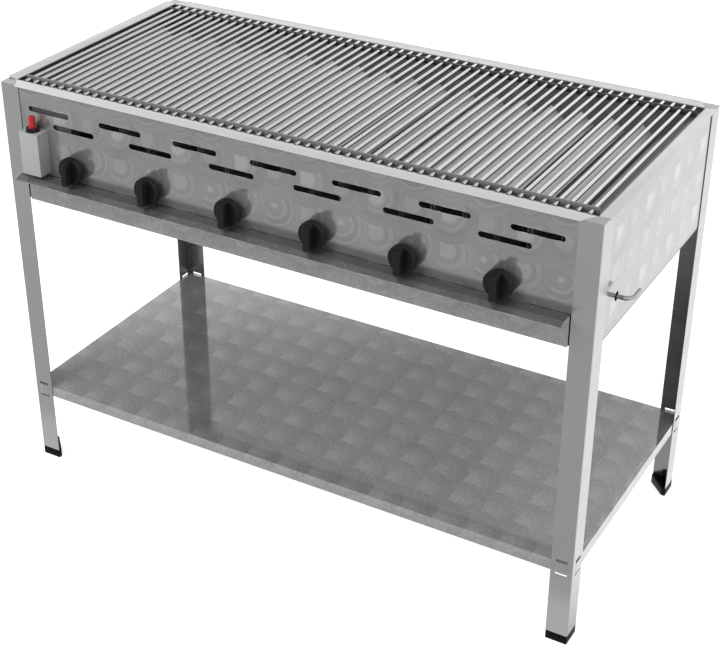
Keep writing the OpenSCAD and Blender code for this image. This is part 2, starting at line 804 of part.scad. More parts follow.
module spark_electrode() {
    tip_y = electrode_y + electrode_len;
    tube_half = sqrt(burner_r * burner_r - electrode_drop * electrode_drop);
    tip_len = electrode_side - tube_half - spark_gap;
    bend_y = -inner_y + valve_r;
    color("ivory") in_frame() {
        translate([electrode_x, 0, electrode_z]) {
            bar_along_y(electrode_y, tip_y, electrode_r);
            translate([-spark_r, tip_y, -spark_r]) cube([tip_len + spark_r, 2 * spark_r, 2 * spark_r]);
        }
        translate([0, 0, electrode_z - lead_r])
            linear_extrude(2 * lead_r)
                polygon([[igniter_x - lead_r, igniter_y - lead_r], [igniter_x + lead_r, igniter_y - lead_r],
                         [igniter_x + lead_r, bend_y], [electrode_x + lead_r, electrode_y - valve_r],
                         [electrode_x + lead_r, electrode_y + lead_r], [electrode_x - lead_r, electrode_y + lead_r],
                         [electrode_x - lead_r, electrode_y - valve_r], [igniter_x - lead_r, bend_y]]);
        translate([igniter_x, igniter_y, electrode_z]) cylinder(h = piezo_z - electrode_z, r = spark_r);
    }
}

at_corner(-1, -1) leg();  // leg_front_left
at_corner(1, -1) leg();  // leg_front_right
at_corner(-1, 1) leg();  // leg_rear_left
at_corner(1, 1) leg();  // leg_rear_right
at_corner(-1, -1) foot();  // foot_front_left
at_corner(1, -1) foot();  // foot_front_right
at_corner(-1, 1) foot();  // foot_rear_left
at_corner(1, 1) foot();  // foot_rear_right
front_panel();
rear_panel();
side_panel_left();
side_panel_right();
shelf();
tray_runner(-1);  // tray_runner_left
tray_runner(1);  // tray_runner_right
drip_tray();
grate();
grate_rail(-1);  // grate_rail_left
grate_rail(1);  // grate_rail_right
cover_rails();
burner_rail_front();
burner_rail_rear();
gas_manifold();
inlet_pipe();
igniter_box();
igniter_collar();
igniter_button();
piezo_unit();
spark_electrode();
for (i = [1 : burner_count]) {
    flame_cover(i);
    burner(i);
    gas_valve(i);
    valve_stem(i);
    knob(i);
}
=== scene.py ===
import math
import random

import bmesh
import bpy
from mathutils import Matrix, Vector


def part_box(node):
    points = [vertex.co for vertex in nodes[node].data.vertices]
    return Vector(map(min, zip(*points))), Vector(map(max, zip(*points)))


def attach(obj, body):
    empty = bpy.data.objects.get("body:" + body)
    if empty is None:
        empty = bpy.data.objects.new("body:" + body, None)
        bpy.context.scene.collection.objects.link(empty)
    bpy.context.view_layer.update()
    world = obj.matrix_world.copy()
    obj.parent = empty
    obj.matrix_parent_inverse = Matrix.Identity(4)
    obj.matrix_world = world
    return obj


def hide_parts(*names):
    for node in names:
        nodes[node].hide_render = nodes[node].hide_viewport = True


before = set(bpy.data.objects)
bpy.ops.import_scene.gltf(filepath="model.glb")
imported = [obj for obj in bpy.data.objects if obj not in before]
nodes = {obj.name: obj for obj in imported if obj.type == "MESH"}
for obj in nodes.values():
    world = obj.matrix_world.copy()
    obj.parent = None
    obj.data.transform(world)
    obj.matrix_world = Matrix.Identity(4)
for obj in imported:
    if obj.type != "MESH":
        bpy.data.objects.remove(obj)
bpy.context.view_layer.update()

scene = bpy.context.scene
millimetre = 0.001
burnerCount = 6
alongX, alongY, alongZ = Vector((1, 0, 0)), Vector((0, 1, 0)), Vector((0, 0, 1))
standX = (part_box("leg_front_left")[0].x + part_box("leg_front_right")[1].x) / 2
standY = (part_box("leg_front_left")[0].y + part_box("leg_rear_left")[1].y) / 2
print("frame loaded:", len(nodes), "nodes")


# Colours are written as sRGB and turned into the linear values that the nodes take
def linear(code):
    values = [int(code[i:i + 2], 16) / 255 for i in (1, 3, 5)]
    return [v / 12.92 if v <= 0.04045 else ((v + 0.055) / 1.055) ** 2.4 for v in values] + [1.0]


# Adds one shader node; an input takes a number, a colour, a node or a socket
def add(tree, kind, inputs=None, **settings):
    node = tree.nodes.new("ShaderNode" + kind)
    for name, value in settings.items():
        setattr(node, name, value)
    for key, value in (inputs or {}).items():
        if isinstance(value, bpy.types.Node):
            value = value.outputs[0]
        if isinstance(value, bpy.types.NodeSocket):
            tree.links.new(value, node.inputs[key])
        else:
            node.inputs[key].default_value = value
    return node


def newMaterial(name):
    material = bpy.data.materials.new(name)
    material.use_nodes = True
    tree = material.node_tree
    tree.nodes.clear()
    return material, tree


def finishMaterial(tree, surface):
    add(tree, "OutputMaterial", {"Surface": surface})


noiseLow, noiseHigh = 0.3, 0.7  # most of a noise lies between these
facingLimit = 0.7  # a face looks along an axis where its normal passes this
insideDepth = 50 * millimetre  # an inner side lies at least this far from the middle


# Is 1 on sides that face the middle of the stand: sheet there keeps a dull mill finish, and on the
# legs the colour there is darkened as painted shade
def insideMask(tree, coord):
    outward = add(tree, "VectorMath", {0: coord.outputs["Object"], 1: (standX, standY, 0.0)},
                  operation="SUBTRACT")
    level = add(tree, "VectorMath", {0: outward, 1: (1.0, 1.0, 0.0)}, operation="MULTIPLY")
    outside = add(tree, "VectorMath", {0: level, 1: coord.outputs["Normal"]},
                  operation="DOT_PRODUCT")
    return add(tree, "Math", {0: outside.outputs["Value"], 1: -insideDepth},
               operation="LESS_THAN")


# Sheet steel with overlapping polished discs; four kinds of disc take turns
turnedSteel = {
    "pitch": 72.5 * millimetre,
    "discRadius": 60 * millimetre,
    "patternHeight": 861 * millimetre,
    "layers": [(0, 1), (1, 0), (0, 0)],
    # Distance from the middle of the disc in mm, and tone there: 0.5 is plain, more is paler
    "rings": [
        [(0, 0.60), (16, 0.60), (19, 0.42), (30, 0.38), (36, 0.55), (44, 0.45), (50, 0.50)],
        [(0, 0.90), (15, 0.85), (21, 0.52), (27, 0.46), (31, 0.66), (34, 0.52), (41, 0.36),
         (50, 0.46)],
        [(0, 0.88), (4, 0.85), (8, 0.45), (21, 0.46), (25, 0.78), (28, 0.45), (36, 0.38),
         (41, 0.74), (44, 0.46), (50, 0.54)],
        [(0, 0.66), (17, 0.68), (20, 0.42), (27, 0.40), (29, 0.62), (38, 0.58), (41, 0.38),
         (44, 0.58), (50, 0.50)],
    ],
    "centreShift": (-2 * millimetre, -5 * millimetre, 0.0),
    "centreReach": (8 * millimetre, 55 * millimetre),
    "centreFall": 0.4,
    "scratchWidth": 0.7 * millimetre,  # finer on the real sheet, drawn this coarse to show
    "scratchShift": 90.0,
    "scratchContrast": 0.04,
    "cloudSize": 71.43 * millimetre,
    "cloudTone": 0.05,
    "speckleSize": 6 * millimetre,
    "roughSpread": 0.2,
    "bumpDepth": 0.02 * millimetre,
    "bumpStrength": 0.3,
    "innerMetallic": 0.1,
}


def turnedSteelMaterial(name, colour, roughness, ringTone, centreTone, discTone, speckleTone,
                        topTone=1.0, metallic=0.65):
    s = turnedSteel
    material, tree = newMaterial(name)
    coord = add(tree, "TexCoord")
    origin = (standX, standY, s["patternHeight"])
    spot = add(tree, "VectorMath", {0: coord.outputs["Object"], 1: origin}, operation="SUBTRACT")
    xyz = add(tree, "SeparateXYZ", {0: spot})
    facing = add(tree, "VectorMath", {0: coord.outputs["Normal"]}, operation="ABSOLUTE")
    facingXyz = add(tree, "SeparateXYZ", {0: facing})
    isTop = add(tree, "Math", {0: facingXyz.outputs[2], 1: facingLimit}, operation="GREATER_THAN")
    isSide = add(tree, "Math", {0: facingXyz.outputs[0], 1: facingLimit}, operation="GREATER_THAN")
    across = add(tree, "Mix", {0: isSide, 2: xyz.outputs[0], 3: xyz.outputs[1]})
    drop = add(tree, "Math", {0: xyz.outputs[2], 1: -1.0}, operation="MULTIPLY")
    upright = add(tree, "Mix", {0: isTop, 2: drop, 3: xyz.outputs[1]})
    flat = add(tree, "CombineXYZ", {0: across, 1: upright})
    grid = add(tree, "VectorMath", {0: flat, "Scale": 1 / s["pitch"]}, operation="SCALE")
    cell = add(tree, "VectorMath", {0: grid}, operation="FLOOR")
    offset = add(tree, "VectorMath", {0: grid}, operation="FRACTION")

    # The disc at the upper right lies lowest; each later one covers it where it reaches
    arm = add(tree, "VectorMath", {0: offset, 1: (1, 1, 0)}, operation="SUBTRACT").outputs[0]
    disc = add(tree, "VectorMath", {0: cell, 1: (1, 1, 0)}, operation="ADD").outputs[0]
    discShare = s["discRadius"] / s["pitch"]
    for corner in s["layers"]:
        step = (corner[0], corner[1], 0)
        nextArm = add(tree, "VectorMath", {0: offset, 1: step}, operation="SUBTRACT")
        nextDisc = add(tree, "VectorMath", {0: cell, 1: step}, operation="ADD")
        reach = add(tree, "VectorMath", {0: nextArm}, operation="LENGTH")
        covers = add(tree, "Math", {0: reach.outputs["Value"], 1: discShare},
                     operation="LESS_THAN")
        arm = add(tree, "Mix", {0: covers, 4: arm, 5: nextArm}, data_type="VECTOR").outputs[1]
        disc = add(tree, "Mix", {0: covers, 4: disc, 5: nextDisc}, data_type="VECTOR").outputs[1]
    arm = add(tree, "VectorMath", {0: arm, "Scale": s["pitch"]}, operation="SCALE").outputs[0]
    radius = add(tree, "VectorMath", {0: arm}, operation="LENGTH").outputs["Value"]
    armXyz = add(tree, "SeparateXYZ", {0: arm})
    angle = add(tree, "Math", {0: armXyz.outputs[1], 1: armXyz.outputs[0]}, operation="ARCTAN2")

    # Rings by the kind of disc
    discXyz = add(tree, "SeparateXYZ", {0: disc})
    odd = [add(tree, "Math", {0: discXyz.outputs[i], 1: 2.0}, operation="FLOORED_MODULO")
           for i in (0, 1)]
    share = add(tree, "Math", {0: radius, 1: s["discRadius"]}, operation="DIVIDE")
    kinds = []
    for stops in s["rings"]:
        ramp = add(tree, "ValToRGB", {0: share})
        spots = ramp.color_ramp.elements
        while len(spots) < len(stops):
            spots.new(1.0)
        for ringSpot, (far, ringLevel) in zip(spots, stops):
            ringSpot.position = far * millimetre / s["discRadius"]
            ringSpot.color = (ringLevel, ringLevel, ringLevel, 1.0)
        kinds.append(ramp.outputs["Color"])
    evenRow = add(tree, "Mix", {0: odd[0], 2: kinds[0], 3: kinds[1]})
    oddRow = add(tree, "Mix", {0: odd[0], 2: kinds[2], 3: kinds[3]})
    rings = add(tree, "Mix", {0: odd[1], 2: evenRow, 3: oddRow})

    # Painted sheen: a paler middle, a little to one side, where the turned disc catches the light
    fromMiddle = add(tree, "VectorMath", {0: arm, 1: s["centreShift"]}, operation="DISTANCE")
    centre = add(tree, "MapRange", {0: fromMiddle.outputs["Value"], 1: s["centreReach"][0],
                                    2: s["centreReach"][1], 3: centreTone,
                                    4: -s["centreFall"] * centreTone},
                 interpolation_type="SMOOTHSTEP")

    # Fine scratches that follow the turning, slow clouds and small speckles over the sheet
    chance = add(tree, "TexWhiteNoise", {"Vector": disc}, noise_dimensions="3D")
    shift = add(tree, "Math", {0: chance.outputs["Value"], 1: s["scratchShift"]},
                operation="MULTIPLY")
    scratchPlace = add(tree, "Math", {0: radius, 1: 1 / s["scratchWidth"], 2: shift},
                       operation="MULTIPLY_ADD")
    scratchVector = add(tree, "CombineXYZ", {0: scratchPlace, 1: angle, 2: shift})
    scratches = add(tree, "TexNoise", {"Vector": scratchVector, "Scale": 1.0, "Detail": 2.0})
    clouds = add(tree, "TexNoise", {"Vector": coord.outputs["Object"],
                                    "Scale": 1 / s["cloudSize"], "Detail": 3.0})
    speckles = add(tree, "TexNoise", {"Vector": coord.outputs["Object"],
                                      "Scale": 1 / s["speckleSize"], "Detail": 2.0})

    tone = add(tree, "MapRange", {0: rings, 1: 0.0, 2: 1.0, 3: 1.0 - ringTone, 4: 1.0 + ringTone})
    discStep = add(tree, "MapRange", {0: chance.outputs["Value"], 1: 0.0, 2: 1.0,
                                      3: -discTone, 4: discTone})
    steps = [centre, discStep]
    for noise, depth in ((scratches, s["scratchContrast"]), (clouds, s["cloudTone"]),
                         (speckles, speckleTone)):
        steps.append(add(tree, "MapRange", {0: noise, 1: noiseLow, 2: noiseHigh,
                                            3: -depth, 4: depth}))
    for step in steps:
        tone = add(tree, "Math", {0: tone, 1: step}, operation="ADD")
    # Painted shade: faces that look up are made darker
    topStep = add(tree, "Mix", {0: isTop, 2: 1.0, 3: topTone})
    tone = add(tree, "Math", {0: tone, 1: topStep}, operation="MULTIPLY")
    paint = add(tree, "VectorMath", {0: linear(colour)[:3], "Scale": tone}, operation="SCALE")
    rough = add(tree, "MapRange", {0: scratches, 1: noiseLow, 2: noiseHigh,
                                   3: roughness * (1 - s["roughSpread"]),
                                   4: roughness * (1 + s["roughSpread"])})
    relief = add(tree, "Bump", {"Height": scratches, "Distance": s["bumpDepth"],
                                "Strength": s["bumpStrength"]})
    mirror = add(tree, "Mix", {0: insideMask(tree, coord), 2: metallic, 3: s["innerMetallic"]})
    shader = add(tree, "BsdfPrincipled", {"Base Color": paint, "Metallic": mirror,
                                          "Roughness": rough, "Normal": relief})
    finishMaterial(tree, shader)
    return material


# Rolled sheet, bar and tube with streaks along one axis
streaked = {
    "cloudSize": 111.1 * millimetre,
    "cloudShare": 0.6,
    "mixRange": (0.4, 1.2),
    "topShadeRange": (0.7, 0.9),
    "flankShadeRange": (0.2, 0.95),
    "roughSpread": 0.2,
    "bumpDepth": 0.02 * millimetre,
    "bumpStrength": 0.3,
}


# A streak is its size in mm along X, Y and Z
def streakedMetal(name, colour, roughness, streak, tone, metallic=1.0, innerTone=1.0,
                  topTone=1.0, flankTone=1.0):
    s = streaked
    material, tree = newMaterial(name)
    coord = add(tree, "TexCoord")
    stretch = [1 / (size * millimetre) for size in streak]
    lines = add(tree, "VectorMath", {0: coord.outputs["Object"], 1: stretch},
                operation="MULTIPLY")
    streaks = add(tree, "TexNoise", {"Vector": lines, "Scale": 1.0, "Detail": 4.0,
                                     "Roughness": 0.6})
    clouds = add(tree, "TexNoise", {"Vector": coord.outputs["Object"],
                                    "Scale": 1 / s["cloudSize"], "Detail": 2.0})
    both = add(tree, "Math", {0: clouds, 1: s["cloudShare"], 2: streaks},
               operation="MULTIPLY_ADD")
    level = add(tree, "MapRange", {0: both, 1: s["mixRange"][0], 2: s["mixRange"][1],
                                   3: 1.0 - tone, 4: 1.0 + tone})
    # Painted shade: faces towards the middle of the stand are made darker
    inner = add(tree, "Mix", {0: insideMask(tree, coord), 2: 1.0, 3: innerTone})
    upward = add(tree, "SeparateXYZ", {0: coord.outputs["Normal"]})
    # Painted shade: faces that look up are made darker
    top = add(tree, "MapRange", {0: upward.outputs[2], 1: s["topShadeRange"][0], 2: s["topShadeRange"][1],
                                 3: 1.0, 4: topTone})
    # Painted shade: the flanks of a rod are made darker, below its polished crown
    flank = add(tree, "MapRange", {0: upward.outputs[2], 1: s["flankShadeRange"][0],
                                   2: s["flankShadeRange"][1], 3: flankTone, 4: 1.0})
    for change in (inner, top, flank):
        level = add(tree, "Math", {0: level, 1: change}, operation="MULTIPLY")
    paint = add(tree, "VectorMath", {0: linear(colour)[:3], "Scale": level}, operation="SCALE")
    rough = add(tree, "MapRange", {0: streaks, 1: noiseLow, 2: noiseHigh,
                                   3: roughness * (1 - s["roughSpread"]),
                                   4: roughness * (1 + s["roughSpread"])})
    relief = add(tree, "Bump", {"Height": streaks, "Distance": s["bumpDepth"],
                                "Strength": s["bumpStrength"]})
    shader = add(tree, "BsdfPrincipled", {"Base Color": paint, "Metallic": metallic,
                                          "Roughness": rough, "Normal": relief})
    finishMaterial(tree, shader)
    return material


# Moulded plastic, paint and cast metal with a fine grain and slow changes of tone
grained = {
    "cloudGrains": 12.5,  # size of the slow changes, in grains
    "fineShare": 0.5,
    "mixRange": (0.45, 1.05),
    "roughSpread": 0.1,
    "bumpStrength": 0.5,
}


# Grain and bump depth are in mm
def grainedSurface(name, colour, roughness, grain, tone, bumpDepth, metallic=0.0, specular=0.5):
    s = grained
    material, tree = newMaterial(name)
    coord = add(tree, "TexCoord")
    size = grain * millimetre
    fine = add(tree, "TexNoise", {"Vector": coord.outputs["Object"], "Scale": 1 / size,
                                  "Detail": 3.0})
    clouds = add(tree, "TexNoise", {"Vector": coord.outputs["Object"],
                                    "Scale": 1 / (s["cloudGrains"] * size), "Detail": 2.0})
    both = add(tree, "Math", {0: fine, 1: s["fineShare"], 2: clouds}, operation="MULTIPLY_ADD")
    level = add(tree, "MapRange", {0: both, 1: s["mixRange"][0], 2: s["mixRange"][1],
                                   3: 1.0 - tone, 4: 1.0 + tone})
    paint = add(tree, "VectorMath", {0: linear(colour)[:3], "Scale": level}, operation="SCALE")
    rough = add(tree, "MapRange", {0: clouds, 1: noiseLow, 2: noiseHigh,
                                   3: roughness * (1 - s["roughSpread"]),
                                   4: roughness * (1 + s["roughSpread"])})
    relief = add(tree, "Bump", {"Height": fine, "Distance": bumpDepth * millimetre,
                                "Strength": s["bumpStrength"]})
    shader = add(tree, "BsdfPrincipled", {"Base Color": paint, "Metallic": metallic,
                                          "Roughness": rough, "Specular IOR Level": specular,
                                          "Normal": relief})
    finishMaterial(tree, shader)
    return material


materials = {
    # Stainless sheet, engine turned: overlapping pale and dark rings with a soft mirror
    "panel_steel": turnedSteelMaterial(
        "stainlessSheetTurned", "#a9a9a8", roughness=0.14, ringTone=0.38, centreTone=0.04,
        discTone=0.03, speckleTone=0.04),
    "side_steel": turnedSteelMaterial(
        "stainlessSideTurned", "#a5a5a4", roughness=0.14, ringTone=0.30, centreTone=0.06,
        discTone=0.02, speckleTone=0.04),
    # The same, polished further: fainter rings and the legs show in it; a stronger painted sheen
    # in the disc middles, and painted shade darkens its top
    "shelf_steel": turnedSteelMaterial(
        "stainlessShelfTurned", "#b8b8b7", roughness=0.06, ringTone=0.09, centreTone=0.13,
        discTone=0.03, speckleTone=0.12, topTone=0.79, metallic=0.47),
    # The same, with painted shade darkening it where it lies flat
    "tray_steel": turnedSteelMaterial(
        "stainlessTrayTurned", "#b3b3b2", roughness=0.14, ringTone=0.32, centreTone=0.08,
        discTone=0.04, speckleTone=0.10, topTone=0.58),
    # Stainless angle, rolled along its length: even and bright outside, with painted shade on the
    # inner faces and on the faces that look up
    "leg_steel": streakedMetal(
        "stainlessAngleRolled", "#b5b5b4", roughness=0.26, streak=(120, 120, 35), tone=0.03,
        metallic=0.65, innerTone=0.42, topTone=0.55),
    # Stainless rod, drawn: a bright line along the crown, and painted shade on the flanks
    "rod_steel": streakedMetal(
        "stainlessRodDrawn", "#b4b4b3", roughness=0.2, streak=(1.5, 250, 1.5), tone=0.05,
        flankTone=0.54),
    # Stainless flat bar, sawn and pickled: matt grey
    "bar_steel": streakedMetal(
        "stainlessBarPickled", "#878786", roughness=0.6, streak=(20, 2, 2), tone=0.06,
        metallic=0.4),
    # The rear bar: the pickled bar painted darker as shade, for the dark inside that it faces, and
    # patchy
    "bar_shaded": streakedMetal(
        "stainlessBarSooted", "#4c4c4b", roughness=0.6, streak=(20, 2, 2), tone=0.10,
        metallic=0.4),
    # Zinc coated sheet, rolled: cool grey with long streaks
    "rail_steel": streakedMetal(
        "zincSheetRolled", "#8f908f", roughness=0.4, streak=(300, 10, 10), tone=0.10,
        metallic=0.4),
    # Stainless strip, rolled and matt: pale and even
    "rim_steel": streakedMetal(
        "stainlessRimRolled", "#d7d7d6", roughness=0.4, streak=(50, 50, 50), tone=0.02,
        metallic=0.15),
    # Steel sheet, dulled by heat: dark grey without a mirror
    "shield_steel": grainedSurface(
        "steelSheetDulled", "#5c5c5b", roughness=0.6, grain=2, tone=0.06, bumpDepth=0.02,
        metallic=0.2),
    # Bright steel sheet, folded: pale roofs with faint streaks down the slope
    "cover_steel": streakedMetal(
        "steelSheetFolded", "#bfbfbd", roughness=0.3, streak=(6, 200, 6), tone=0.08,
        metallic=0.4),
    # Cast iron, as cast: near black and grainy
    "burner_iron": grainedSurface(
        "ironCast", "#3a3836", roughness=0.6, grain=1.2, tone=0.2, bumpDepth=0.15,
        metallic=0.6),
    # Steel tube, drawn: mid grey with fine lines along it
    "manifold_steel": streakedMetal(
        "steelTubeDrawn", "#8c8c8a", roughness=0.3, streak=(300, 3, 3), tone=0.10),
    # Stainless tube, drawn and bent: smooth, mirrors the panel
    "pipe_steel": streakedMetal(
        "stainlessTubeBent", "#8e8e8c", roughness=0.15, streak=(50, 50, 2), tone=0.04),
    # Brass, turned: warm yellow with fine tool lines
    "valve_brass": streakedMetal(
        "brassTurned", "#b8914a", roughness=0.3, streak=(20, 0.8, 20), tone=0.08),
    # Black phenolic, moulded: black with a broad weak shine
    "knob_plastic": grainedSurface(
        "phenolicMoulded", "#161616", roughness=0.45, grain=0.5, tone=0.12, bumpDepth=0.03,
        specular=0.28),
    # Grey paint, sprayed on folded sheet: even and half matt
    "box_grey": grainedSurface(
        "paintSprayedGrey", "#aeb0af", roughness=0.5, grain=0.9, tone=0.02, bumpDepth=0.03),
    # Black nylon, moulded: a little smoother than the knobs
    "collar_plastic": grainedSurface(
        "nylonMouldedBlack", "#121212", roughness=0.42, grain=0.6, tone=0.12, bumpDepth=0.03,
        specular=0.25),
    # Red plastic, moulded: strong colour with a clear shine
    "button_red": grainedSurface(
        "plasticMouldedRed", "#c8202a", roughness=0.3, grain=0.6, tone=0.05, bumpDepth=0.02),
    # Black rubbery plastic, moulded: deep black with hardly a shine
    "foot_plastic": grainedSurface(
        "plasticMouldedBlack", "#0d0d0d", roughness=0.5, grain=0.8, tone=0.15, bumpDepth=0.05,
        specular=0.08),
    # White ceramic, glazed: warm white and shiny
    "ceramic": grainedSurface(
        "ceramicGlazed", "#e6e2d8", roughness=0.25, grain=2, tone=0.04, bumpDepth=0.02),
}
for node in nodes.values():
    for index, old in enumerate(node.data.materials):
        node.data.materials[index] = materials[old.name.split(".")[0]]
print("materials made:", len(materials))

modelling = {
    "smoothBelow": math.radians(35),
    "mergeDistance": 0.01 * millimetre,
    "flatBelow": math.radians(1),
    "roundAbove": math.radians(40),
}


# Joins a piece to its body and, where it stands for CAD nodes, hides those
def place(name, shape, finish, body, replaced=()):
    mesh = bpy.data.meshes.new(name)
    bmesh.ops.recalc_face_normals(shape, faces=shape.faces)
    shape.to_mesh(mesh)
    shape.free()
    mesh.shade_smooth()
    mesh.set_sharp_from_angle(angle=modelling["smoothBelow"])
    mesh.materials.append(materials[finish])
    piece = bpy.data.objects.new(name, mesh)
    scene.collection.objects.link(piece)
    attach(piece, body)
    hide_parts(*replaced)


# Turns a profile of (radius, height) points about an axis through a centre
def turned(shape, profile, centre, axis, side, steps):
    ring = [shape.verts.new(centre + side * r + axis * h) for r, h in profile]
    edges = [shape.edges.new(pair) for pair in zip(ring, ring[1:])]
    bmesh.ops.spin(shape, geom=ring + edges, cent=centre, axis=axis, angle=math.tau, steps=steps,
                   use_merge=True)
    bmesh.ops.remove_doubles(shape, verts=shape.verts, dist=modelling["mergeDistance"])


# Copies a CAD node into a piece with its sharp edges rounded
def rounded(name, node, finish, body, radius, segments):
    s = modelling
    shape = bmesh.new()
    shape.from_mesh(nodes[node].data)
    bmesh.ops.remove_doubles(shape, verts=shape.verts, dist=s["mergeDistance"])
    bmesh.ops.dissolve_limit(shape, angle_limit=s["flatBelow"], verts=shape.verts,
                             edges=shape.edges)
    sharp = [e for e in shape.edges
             if len(e.link_faces) == 2 and e.calc_face_angle(0) > s["roundAbove"]]
    bmesh.ops.bevel(shape, geom=sharp, offset=radius, affect="EDGES", segments=segments,
                    profile=0.5, material=-1, clamp_overlap=True)
    place(name, shape, finish, body, [node])


# A plain block from its middle and its size
def block(shape, middle, size):
    for vert in bmesh.ops.create_cube(shape, size=1.0)["verts"]:
        vert.co = middle + vert.co * size


# Grate: drawn rods with domed ends that pass through two bars
grate = {
    "rodRadius": 4 * millimetre,
    "rodCount": 58,
    "barPast": 11.5 * millimetre,
    "barThickness": 4 * millimetre,
    "barInset": 20 * millimetre,
    "rearInset": 26 * millimetre,
    "rearHeight": 12 * millimetre,
    "barRounding": 0.6 * millimetre,
    "rodSides": 20,
    "rodRings": 9,
    "bow": 0.25 * millimetre,
    # Half profile of a rod end, in rod radii: distance from the axis and from the tip
    "dome": [(0.0, 0.0), (0.55, 0.05), (0.85, 0.22), (1.0, 0.6)],
    "seed": 4,
}


def makeGrateRods():
    s = grate
    low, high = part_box("grate")
    middle = (low + high) / 2
    chance = random.Random(s["seed"])
    radius = s["rodRadius"]
    rodHalf = (high.y - low.y) / 2
    rodX = (high.x - low.x) / 2 - s["barPast"]
    barY = rodHalf - s["barInset"]
    straight = [-barY + 2 * barY * k / (s["rodRings"] - 1) for k in range(s["rodRings"])]
    profile = [(f * radius, -rodHalf + h * radius) for f, h in s["dome"]]
    profile += [(radius, y) for y in straight]
    profile += [(f * radius, rodHalf - h * radius) for f, h in reversed(s["dome"])]
    shape = bmesh.new()
    for i in range(s["rodCount"]):
        x = middle.x - rodX + 2 * rodX * i / (s["rodCount"] - 1)
        lean = Vector((chance.uniform(-1, 1), 0, chance.uniform(-1, 1))) * s["bow"]
        rod = bmesh.new()
        turned(rod, profile, Vector((x, middle.y, middle.z)), alongY, alongX, s["rodSides"])
        for vert in rod.verts:
            along = min(abs(vert.co.y - middle.y) / barY, 1.0)
            vert.co += lean * (1.0 - along ** 2)
        part = bpy.data.meshes.new("rodPart")
        rod.to_mesh(part)
        rod.free()
        shape.from_mesh(part)
        bpy.data.meshes.remove(part)
    place("grateRods", shape, "rod_steel", "grate", ["grate"])


def makeGrateBar(name, finish, y, height):
    s = grate
    low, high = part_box("grate")
    shape = bmesh.new()
    block(shape, Vector(((low.x + high.x) / 2, y, low.z + height / 2)),
          Vector((high.x - low.x, s["barThickness"], height)))
    bmesh.ops.bevel(shape, geom=list(shape.edges), offset=s["barRounding"], affect="EDGES",
                    segments=2, profile=0.5, material=-1)
    place(name, shape, finish, "grate", ["grate"])


def makeGrateBars():
    s = grate
    low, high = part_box("grate")
    makeGrateBar("grateBarFront", "bar_steel", low.y + s["barInset"], high.z - low.z)
    makeGrateBar("grateBarRear", "bar_shaded", high.y - s["rearInset"], s["rearHeight"])


makeGrateRods()
makeGrateBars()
print("grate made")

# Knob: a skirt with a rounded rim and a bar grip with softened edges
knob = {
    "skirtRadius": 28 * millimetre,
    "hubRadius": 12 * millimetre,
    "hubLength": 5 * millimetre,
    "skirtThickness": 13.5 * millimetre,
    "rimRounding": 1.8 * millimetre,
    "rimSteps": 4,
    "dishInset": 7.2 * millimetre,
    "faceDish": 1.0 * millimetre,
    "gripWidth": 15 * millimetre,
    "gripRadius": 27 * millimetre,
    "gripTaper": 0.93,
    "gripRounding": 1.6 * millimetre,
    "turnSteps": 72,
    "arcSteps": 8,
}


def knobProfile(back):
    s = knob
    skirtBack = back - s["hubLength"]
    face = skirtBack - s["skirtThickness"]
    r = s["skirtRadius"]
    rounding = s["rimRounding"]
    points = [(0.0, back), (s["hubRadius"], back), (s["hubRadius"], skirtBack)]
    for centreHeight, start in ((skirtBack - rounding, 90), (face + rounding, 0)):
        for k in range(s["rimSteps"] + 1):
            turn = math.radians(start - k * 90 / s["rimSteps"])
            points.append((r - rounding + rounding * math.cos(turn),
                           centreHeight + rounding * math.sin(turn)))
    points += [(r - s["dishInset"], face + s["faceDish"]), (0.0, face + s["faceDish"])]
    return points


def makeKnob(number):
    s = knob
    node = "knob_%d" % number
    low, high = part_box(node)
    centre = Vector(((low.x + high.x) / 2, 0.0, (low.z + high.z) / 2))
    shape = bmesh.new()
    turned(shape, knobProfile(high.y), centre, alongY, alongX, s["turnSteps"])
    # Outline of the grip: two arcs of one circle, joined by straight flanks
    reach = math.asin(s["gripWidth"] / 2 / s["gripRadius"])
    outline = []
    for side in (1, -1):
        for k in range(s["arcSteps"] + 1):
            turn = reach - 2 * reach * k / s["arcSteps"]
            outline.append((side * s["gripRadius"] * math.sin(turn),
                            side * s["gripRadius"] * math.cos(turn)))
    # The grip starts below the dished face and narrows to its front
    foot = high.y - s["hubLength"] - s["skirtThickness"] + 2 * s["faceDish"]
    lower = [shape.verts.new(centre + Vector((x, foot, z))) for x, z in outline]
    drawn = bmesh.ops.extrude_face_region(shape, geom=[shape.faces.new(lower)])["geom"]
    upper = [v for v in drawn if isinstance(v, bmesh.types.BMVert)]
    bmesh.ops.translate(shape, verts=upper, vec=(0, low.y - foot, 0))
    bmesh.ops.scale(shape, verts=upper, vec=(s["gripTaper"], 1, s["gripTaper"]),
                    space=Matrix.Translation(-centre))
    bmesh.ops.recalc_face_normals(shape, faces=shape.faces)
    soft = [e for f in drawn if isinstance(f, bmesh.types.BMFace) for e in f.edges]
    for k in (0, s["arcSteps"], s["arcSteps"] + 1, len(outline) - 1):
        soft += [e for e in lower[k].link_edges if e.other_vert(lower[k]) in upper]
    bmesh.ops.bevel(shape, geom=soft, offset=s["gripRounding"], affect="EDGES", segments=3,
                    profile=0.5, material=-1, clamp_overlap=True)
    place("knobMoulded%d" % number, shape, "knob_plastic", node, [node])


for number in range(1, burnerCount + 1):
    makeKnob(number)
print("knobs made")

# Igniter: box with rolled edges, ribbed collar nut and push button
igniter = {
    "boxRounding": 1.6 * millimetre,
    "boxSegments": 3,
    "collarRibs": 28,
    "stepsPerRib": 4,
    "ribDepth": 0.5 * millimetre,
    "collarChamfer": 1.6 * millimetre,
    "collarBore": 8.6 * millimetre,
    "buttonRounding": 1.2 * millimetre,
    "buttonSteps": 5,
    "buttonSides": 48,
}


